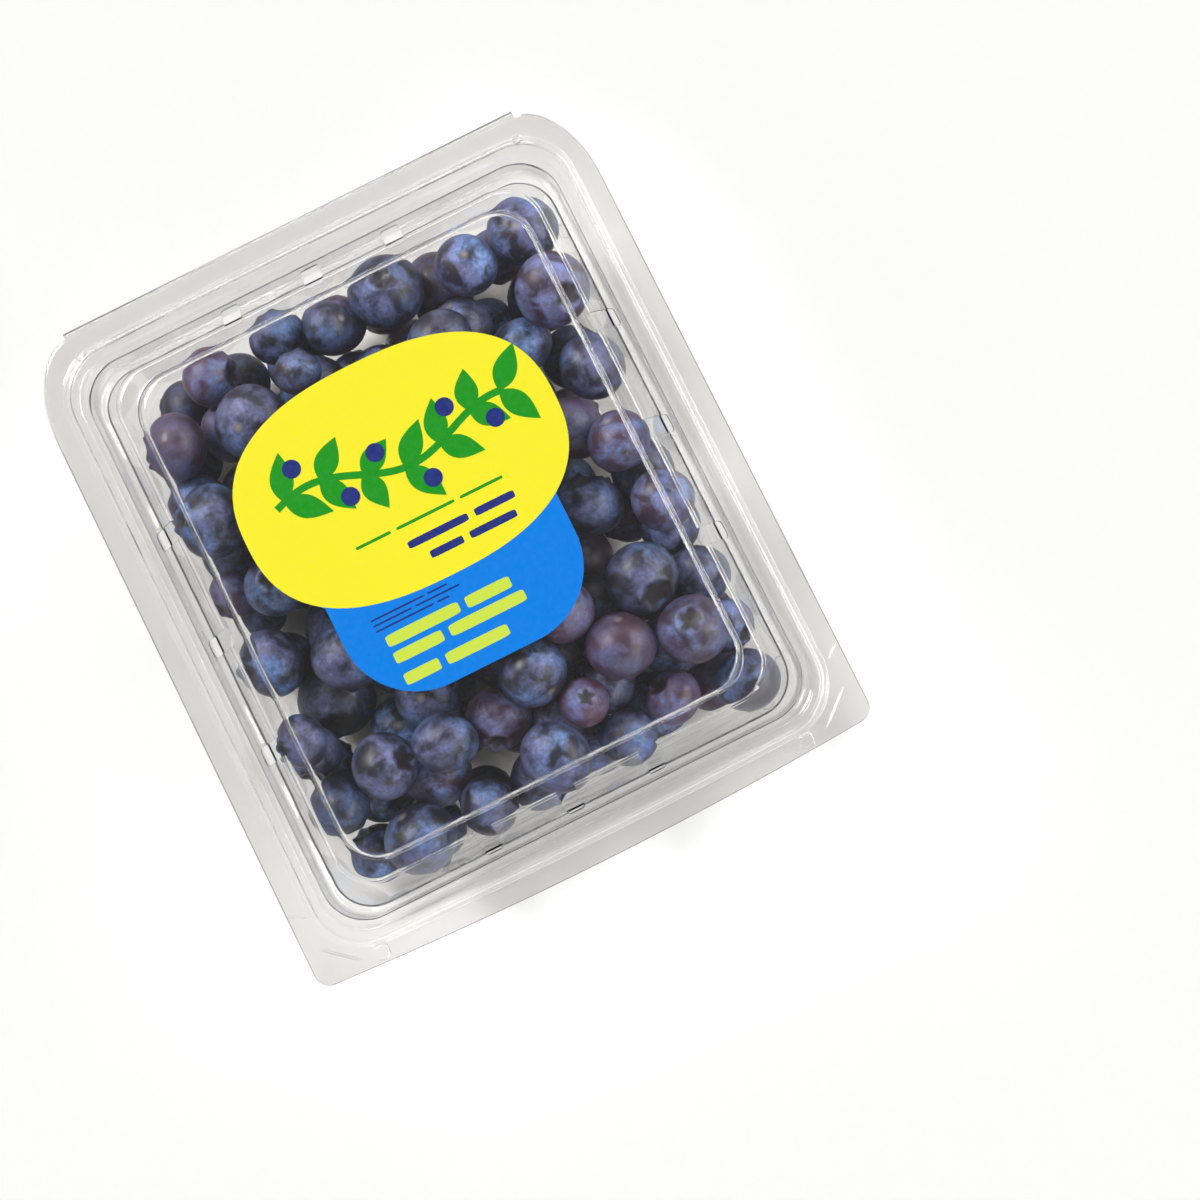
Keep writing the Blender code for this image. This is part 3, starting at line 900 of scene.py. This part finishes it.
def berry_shape(rng, flatness):
    """Points of one berry of radius 1 round +Z, crown on top, and how much each is crown or scar."""
    theta = np.radians(np.array(BERRY_RINGS[1:-1], float))[:, None]
    phi = (2 * np.pi * np.arange(BERRY_SEGMENTS) / BERRY_SEGMENTS)[None]
    mouth = math.radians(rng.uniform(*MOUTH))
    start = rng.uniform(0, 2 * np.pi)
    uneven = 0.75 + 0.25 * np.cos(2 * phi + rng.uniform(0, TURN))
    star = np.cos(LOBES * (phi - start))
    lobe = np.clip(0.5 + 0.62 * star, 0, 1) * uneven
    rim = np.exp(-(((theta - mouth * 1.3) / math.radians(RIM_SPREAD)) ** 2))
    radius = 1 + rim * (RIM_HEIGHT + rng.uniform(*LOBE_HEIGHT) * lobe)
    bowl = np.clip(1 - theta / mouth, 0, 1)
    radius = radius - rng.uniform(*BOWL_DEPTH) * bowl**0.6
    # The stalk end has a shallow dimple with a small scar
    dimple = np.exp(-(((np.pi - theta) / math.radians(DIMPLE_SPREAD)) ** 2))
    radius = radius - DIMPLE_DEPTH * dimple
    # No berry is quite round
    wave = (
        rng.uniform(-1, 1) * 0.02 * np.cos(2 * phi + rng.uniform(0, TURN)) * np.sin(theta) ** 2
        + rng.uniform(-1, 1) * 0.015 * np.cos(3 * phi + rng.uniform(0, TURN)) * np.sin(theta)
        + 0.012 * rng.uniform(-1, 1) * np.cos(2 * theta + rng.uniform(0, TURN))
    )
    radius = radius + wave
    x = radius * np.sin(theta) * np.cos(phi)
    y = radius * np.sin(theta) * np.sin(phi)
    z = radius * np.cos(theta) * np.ones_like(phi)
    top = (0, 0, float(1 - rng.uniform(0.12, 0.18)))
    bottom = (0, 0, -0.95)
    points = np.concatenate(([top], np.stack((x, y, z), -1).reshape(-1, 3), [bottom]))
    points[:, 2] *= flatness
    # The dry inside of the crown is a dark star that runs out along its lobes
    ragged = 0.1 * np.cos(3 * phi + start) * np.cos(7 * phi)
    reach = mouth * (1.12 + 0.24 * star * uneven + ragged)
    crown = np.clip((reach - theta) / (mouth * 0.3), 0, 1)
    scar = np.clip(dimple * 2.2 - 1.2, 0, 1) * np.ones_like(phi)
    return (
        points,
        np.concatenate(([1.0], crown.reshape(-1), [0.0])),
        np.concatenate(([0.0], scar.reshape(-1), [1.0])),
    )


def berry_faces():
    """Faces of one berry: triangles at both ends, quads between them."""
    n, rows = BERRY_SEGMENTS, len(BERRY_RINGS) - 2
    last = 1 + n * rows
    faces = []
    for i in range(n):
        j = (i + 1) % n
        faces.append((0, 1 + i, 1 + j))
        for row in range(rows - 1):
            a, b = 1 + row * n, 1 + (row + 1) * n
            faces.append((a + i, b + i, b + j, a + j))
        a = 1 + (rows - 1) * n
        faces.append((last, a + j, a + i))
    return faces


def berry_heap(settings):
    """All berries as one mesh, with each point's colour facts in attributes."""
    places, radii = settled_berries()
    rng = np.random.default_rng(SEED + 1)
    faces = berry_faces()
    points, polygons = [], []
    facts = {"crown": [], "scar": [], "tint": [], "ripe": []}
    for number, (place, radius) in enumerate(zip(places, radii)):
        shape, crown, scar = berry_shape(rng, settings.flatness * rng.uniform(0.96, 1.05))
        lean = rng.normal(size=3)
        lean /= np.linalg.norm(lean)
        direction = Vector(CROWN_DIRECTIONS.get(number, lean))
        turn = np.array(direction.to_track_quat("Z", "Y").to_matrix())
        at = len(points) * len(shape)
        points.append(shape @ turn.T * radius * BERRY_FULLNESS + place)
        polygons += [tuple(at + i for i in face) for face in faces]
        ripe = rng.uniform(0.3, 0.8) if rng.random() < UNRIPE_ODDS else 0.0
        facts["crown"].append(crown)
        facts["scar"].append(scar)
        facts["tint"].append(np.full(len(shape), rng.uniform(0.32, 1.1)))
        facts["ripe"].append(np.full(len(shape), MAUVE_SHARES.get(number, ripe)))
    mesh = bpy.data.meshes.new("berry_heap")
    mesh.from_pydata(np.concatenate(points).tolist(), [], polygons)
    for name, values in facts.items():
        layer = mesh.attributes.new(name, "FLOAT", "POINT")
        layer.data.foreach_set("value", np.concatenate(values).astype(np.float32))
    mesh.shade_smooth()
    return mesh


def inside_oval(point):
    x = abs(point.x) / LABEL_HALF_X
    y = abs(point.y - LABEL_RAISE) / LABEL_HALF_Y
    return x**LABEL_POWER + y**LABEL_POWER < 1


def inside_tab(point):
    past_x = max(abs(point.x) - TAB_HALF_X + TAB_RADIUS, 0)
    past_y = max(TAB_BOTTOM + TAB_RADIUS - point.y, 0)
    return math.hypot(past_x, past_y) < TAB_RADIUS and point.y < LABEL_RAISE


def last_inside(origin, direction, inside):
    """How far along the direction from the origin the shape reaches, by halving."""
    near, far = 0.0, 2.5 * LABEL_HALF_X
    for _ in range(HALVINGS):
        middle = (near + far) / 2
        near, far = (middle, far) if inside(origin + direction * middle) else (near, middle)
    return near


def outline(inside, origin, steps=144):
    points = []
    for step in range(steps):
        angle = 2 * math.pi * step / steps
        direction = Vector((math.cos(angle), math.sin(angle)))
        points.append(origin + direction * last_inside(origin, direction, inside))
    return points


def superellipse(centre, half, power, turn=0.0, steps=40):
    """A closed outline: power 1 is a diamond, 2 an ellipse, more is a rounded box."""
    points = []
    for step in range(steps):
        angle = 2 * math.pi * step / steps
        c, s = math.cos(angle), math.sin(angle)
        x = math.copysign(abs(c) ** (2 / power), c) * half[0]
        y = math.copysign(abs(s) ** (2 / power), s) * half[1]
        points.append(Vector(centre) + Matrix.Rotation(turn, 2) @ Vector((x, y)))
    return points


def leaf(foot, length, width, turn, steps=14):
    """A pointed leaf from its foot, both edges as sine arcs."""
    edge = []
    for i in range(steps + 1):
        share = i / steps
        edge.append((length * share, width / 2 * math.sin(math.pi * share**0.8)))
    whole = edge + [(x, -y) for x, y in edge[-2:0:-1]]
    return [Vector(foot) + Matrix.Rotation(turn, 2) @ Vector(p) for p in whole]


def band(points, width):
    """A line of even width along the points."""
    left, right = [], []
    for i, point in enumerate(points):
        along = points[min(i + 1, len(points) - 1)] - points[max(i - 1, 0)]
        side = Vector((-along.y, along.x)).normalized() * width / 2
        left.append(point + side)
        right.append(point - side)
    return left + right[::-1]


def add_plate(bm, points, low, high, slot, under=None):
    """A thin plate with this outline, between two heights."""
    bottom = [bm.verts.new((p.x, p.y, low)) for p in points]
    top = [bm.verts.new((p.x, p.y, high)) for p in points]
    faces = [bm.faces.new(top), bm.faces.new(bottom[::-1])]
    for i in range(len(points)):
        j = (i + 1) % len(points)
        faces.append(bm.faces.new((bottom[i], bottom[j], top[j], top[i])))
    for face in faces:
        face.material_index = slot
    if under is not None:
        faces[1].material_index = under


def vine_point(share):
    """A wavy stem from left to right over the yellow field."""
    wave = math.sin(2 * math.pi * share * STEM_WAVES + STEM_PHASE)
    return Vector((STEM_START + STEM_LENGTH * share, STEM_LEVEL + STEM_SWING * wave))


def add_bars(bm, left, y, halves, height, space, low, slot):
    """A row of rounded bars from the left end on, each given by half its length."""
    x = left
    for half in halves:
        bar = superellipse((x + half, y), (half, height / 2), BAR_POWER)
        add_plate(bm, bar, low, low + INK, slot)
        x += 2 * half + space


def label_mesh(settings):
    bm = bmesh.new()
    film = settings.thickness

    def whole(point):
        return inside_oval(point) or inside_tab(point)

    add_plate(bm, outline(whole, Vector((0, 0))), 0.0, film, BLUE, BACK)
    oval = outline(inside_oval, Vector((0, LABEL_RAISE)))
    top = film + INK
    add_plate(bm, oval, film, top, YELLOW)

    # A stem with leaves in pairs and round berries between them, each kind printed over the last
    stem = [vine_point(i / 48) for i in range(49)]
    add_plate(bm, band(stem, STEM_WIDTH), top, top + INK, GREEN)
    for i, share in enumerate(LEAF_PLACES):
        foot = vine_point(share)
        along = vine_point(min(share + 0.02, 1)) - vine_point(share - 0.02)
        heading = math.atan2(along.y, along.x)
        for level, side in ((2, 1), (3, -1)):
            size = (LEAF_LENGTH - LEAF_SHRINK * (i % 3)) * MM
            shape = leaf(foot, size, LEAF_WIDTH, heading + side * LEAF_LEAN)
            add_plate(bm, shape, top, top + level * INK, GREEN)
    for share, side in DOT_PLACES:
        centre = vine_point(share) + Vector((0, side * DOT_OUT))
        dot = superellipse(centre, (DOT_RADIUS, DOT_RADIUS), 2)
        add_plate(bm, dot, top, top + 4 * INK, NAVY)
    for rows, low in ((BARS_ON_YELLOW, top), (BARS_ON_BLUE, film)):
        for left, y, halves, height, space, slot in rows:
            lengths = [half * MM for half in halves]
            add_bars(bm, left * MM, y * MM, lengths, height * MM, space * MM, low, slot)
    return mesh_of(bm, "label_sticker")


class PackOperator:
    bl_options = {"REGISTER", "UNDO"}


class BERRYPACK_OT_tray(PackOperator, bpy.types.Operator):
    """Form the clear tray with its flange, bead, foot and floor slots"""

    bl_idname = "berrypack.tray"
    bl_label = "Tray"

    def execute(self, context):
        settings = context.scene.berry_sheet
        bm = shell_surface(tray_profile(), settings, 1)
        pips = [
            low_cone("pip", PIP_RADIUS * PIP_FOOT_SHARE, PIP_RADIUS, PIP_HEIGHT + SINK, (x, y, 0.0))
            for x in (-PIP_PLACE[0], PIP_PLACE[0])
            for y in (-PIP_PLACE[1], PIP_PLACE[1])
        ]
        mat = clear_sheet_material(settings)
        tray = formed_shell(
            "tray_shell", mesh_of(bm, "tray_shell"), settings, -1.0, floor_cutters(settings), pips, mat
        )
        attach(tray, "base")
        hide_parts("tray")
        return {"FINISHED"}


class BERRYPACK_OT_lid(PackOperator, bpy.types.Operator):
    """Form the clear lid with its vents, shoulder, raised panel and snap buttons"""

    bl_idname = "berrypack.lid"
    bl_label = "Lid"

    def execute(self, context):
        settings = context.scene.berry_sheet
        bm = shell_surface(lid_profile(), settings, 1)
        top = LID_BASE + settings.thickness
        extras = []
        for side in (-1, 1):
            place = (side * BUTTON_PLACE[0], BUTTON_PLACE[1], top)
            extras.append(dome("button", place, *BUTTON_SIZE, SINK))
            place = (side * STUD_PLACE[0], STUD_PLACE[1], top)
            extras.append(dome("stud", place, *STUD_SIZE, SINK))
            for ends in TAB_FOLDS:
                start, end = ((side * x, y) for x, y in ends)
                extras.append(rib("fold", start, end, *TAB_FOLD_SIZE, top))
        mat = bpy.data.materials["thermoformed clear PET"]
        lid = formed_shell(
            "lid_shell", mesh_of(bm, "lid_shell"), settings, 1.0, vent_cutters(settings), extras, mat
        )
        # A clear lid takes hardly any light from the fruit, and the tray under it gives the soft shadow
        lid.visible_shadow = False
        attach(lid, "cover")
        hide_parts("lid")
        return {"FINISHED"}


class BERRYPACK_OT_berries(PackOperator, bpy.types.Operator):
    """Heap the berries in the tray"""

    bl_idname = "berrypack.berries"
    bl_label = "Berries"

    def execute(self, context):
        settings = context.scene.berry_fruit
        heap = new_object("berry_heap", berry_heap(settings))
        heap.data.materials.append(berry_material(settings))
        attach(heap, "base")
        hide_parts("berries")
        return {"FINISHED"}


class BERRYPACK_OT_label(PackOperator, bpy.types.Operator):
    """Cut and print the sticker on the lid"""

    bl_idname = "berrypack.label"
    bl_label = "Label"

    def execute(self, context):
        settings = context.scene.berry_label
        label = new_object("label_sticker", label_mesh(settings))
        sheet = context.scene.berry_sheet.thickness
        label.location = (*LABEL_CENTRE, LID_TOP - WALL + sheet + LABEL_GAP)
        for name, colour, paler in (
            ("yellow ink on label film, flexo printed", settings.yellow, 0.02),
            ("blue ink on label film, flexo printed", settings.blue, 0.012),
            ("green ink on label film, flexo printed", settings.green, 0.02),
            ("navy ink on label film, flexo printed", settings.navy, 0.02),
            ("lime ink on label film, flexo printed", settings.lime, 0.02),
            ("white label film, adhesive side", settings.back, 0.0),
        ):
            label.data.materials.append(print_material(name, colour, paler))
        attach(label, "cover")
        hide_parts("label")
        return {"FINISHED"}


def add_sun(name, direction, strength, angle):
    """A large soft lamp, far enough off to light the whole floor evenly."""
    data = bpy.data.lights.new(name, "SUN")
    data.energy = strength
    data.angle = math.radians(angle)
    lamp = new_object(name, data)
    lamp.rotation_euler = Vector(direction).to_track_quat("Z", "Y").to_euler()


def add_strip(name, place, size, power):
    """A strip softbox that faces the pack, its long side along X or Y, seen in mirrored light only."""
    data = bpy.data.lights.new(name, "AREA")
    data.shape = "RECTANGLE"
    data.size, data.size_y = size
    data.energy = power
    lamp = new_object(name, data)
    lamp.visible_diffuse = False
    forward = -Vector(place).normalized()
    along = Vector((1, 0, 0)) if size[0] > size[1] else Vector((0, 1, 0))
    long_axis = (along - forward * along.dot(forward)).normalized()
    if size[0] > size[1]:
        axes = (long_axis, (-forward).cross(long_axis), -forward)
    else:
        axes = (long_axis.cross(-forward), long_axis, -forward)
    lamp.matrix_world = Matrix.Translation(place) @ Matrix(axes).transposed().to_4x4()


def add_camera(settings):
    """The camera at the photograph's angle, turned about its own axis as the pack lies there."""
    azimuth, elevation, roll = (math.radians(a) for a in CAMERA_ANGLES)
    back = Vector(
        (
            math.sin(azimuth) * math.cos(elevation),
            -math.cos(azimuth) * math.cos(elevation),
            math.sin(elevation),
        )
    )
    right = (-back).cross(Vector((0, 0, 1))).normalized()
    up = right.cross(-back)
    turned_right = right * math.cos(roll) + up * math.sin(roll)
    turned_up = up * math.cos(roll) - right * math.sin(roll)
    data = bpy.data.cameras.new("camera")
    data.lens = settings.lens
    camera = new_object("camera", data)
    axes = Matrix((turned_right, turned_up, back)).transposed()
    place = Vector(CAMERA_TARGET) + back * settings.distance
    camera.matrix_world = Matrix.Translation(place) @ axes.to_4x4()
    bpy.context.scene.camera = camera


class BERRYPACK_OT_stage(PackOperator, bpy.types.Operator):
    """Set the floor, the studio light and the camera"""

    bl_idname = "berrypack.stage"
    bl_label = "Stage"

    def execute(self, context):
        settings = context.scene.berry_stage
        bm = bmesh.new()
        bmesh.ops.create_circle(bm, cap_ends=True, segments=96, radius=FLOOR_RADIUS)
        floor = new_object("floor", mesh_of(bm, "floor"))
        mat, tree = new_material("matt white studio paper")
        surface = add_node(
            tree,
            "ShaderNodeBsdfPrincipled",
            Base_Color=rgba(settings.floor),
            Roughness=0.9,
            Specular_IOR_Level=0.1,
        )
        add_node(tree, "ShaderNodeOutputMaterial", Surface=surface.outputs[0])
        floor.data.materials.append(mat)
        world = bpy.data.worlds.new("studio")
        context.scene.world = world
        world.use_nodes = True
        tree = world.node_tree
        tree.nodes.clear()
        up = add_node(tree, "ShaderNodeTexCoord").outputs["Generated"]
        height = add_node(tree, "ShaderNodeSeparateXYZ", Vector=up).outputs["Z"]
        # Pale walls all round, a darker ceiling: clear plastic mirrors both and so shows its form
        level = mapped(tree, height, (0.25, 0.85), (1.0, 0.2), kind="SMOOTHSTEP")
        sky = add_node(tree, "ShaderNodeBackground", Color=WHITE, Strength=level)
        add_node(tree, "ShaderNodeOutputWorld", Surface=sky.outputs[0])
        for sun in SUNS:
            add_sun(*sun)
        for strip in STRIPS:
            add_strip(*strip)
        add_camera(settings)
        context.scene.view_settings.view_transform = "Standard"
        return {"FINISHED"}


OPERATORS = (
    BERRYPACK_OT_tray,
    BERRYPACK_OT_lid,
    BERRYPACK_OT_berries,
    BERRYPACK_OT_label,
    BERRYPACK_OT_stage,
)
GROUPS = {
    "berry_sheet": SheetSettings,
    "berry_fruit": BerrySettings,
    "berry_label": LabelSettings,
    "berry_stage": StageSettings,
}


class BERRYPACK_PT_pack(bpy.types.Panel):
    """Lists the pieces of the pack and their settings"""

    bl_idname = "BERRYPACK_PT_pack"
    bl_label = "Berry pack"
    bl_space_type = "VIEW_3D"
    bl_region_type = "UI"
    bl_category = "Berry pack"

    def draw(self, context):
        for operator in OPERATORS:
            self.layout.operator(operator.bl_idname)
        for name, group in GROUPS.items():
            box = self.layout.box()
            for setting in group.__annotations__:
                box.prop(getattr(context.scene, name), setting)


def register():
    for cls in (*GROUPS.values(), *OPERATORS, BERRYPACK_PT_pack):
        bpy.utils.register_class(cls)
    for name, group in GROUPS.items():
        setattr(bpy.types.Scene, name, PointerProperty(type=group))


def unregister():
    for name in GROUPS:
        delattr(bpy.types.Scene, name)
    for cls in (BERRYPACK_PT_pack, *OPERATORS[::-1], *GROUPS.values()):
        bpy.utils.unregister_class(cls)


def main():
    register()
    bpy.ops.berrypack.tray()
    bpy.ops.berrypack.lid()
    bpy.ops.berrypack.berries()
    bpy.ops.berrypack.label()
    bpy.ops.berrypack.stage()


if __name__ == "__main__":
    main()
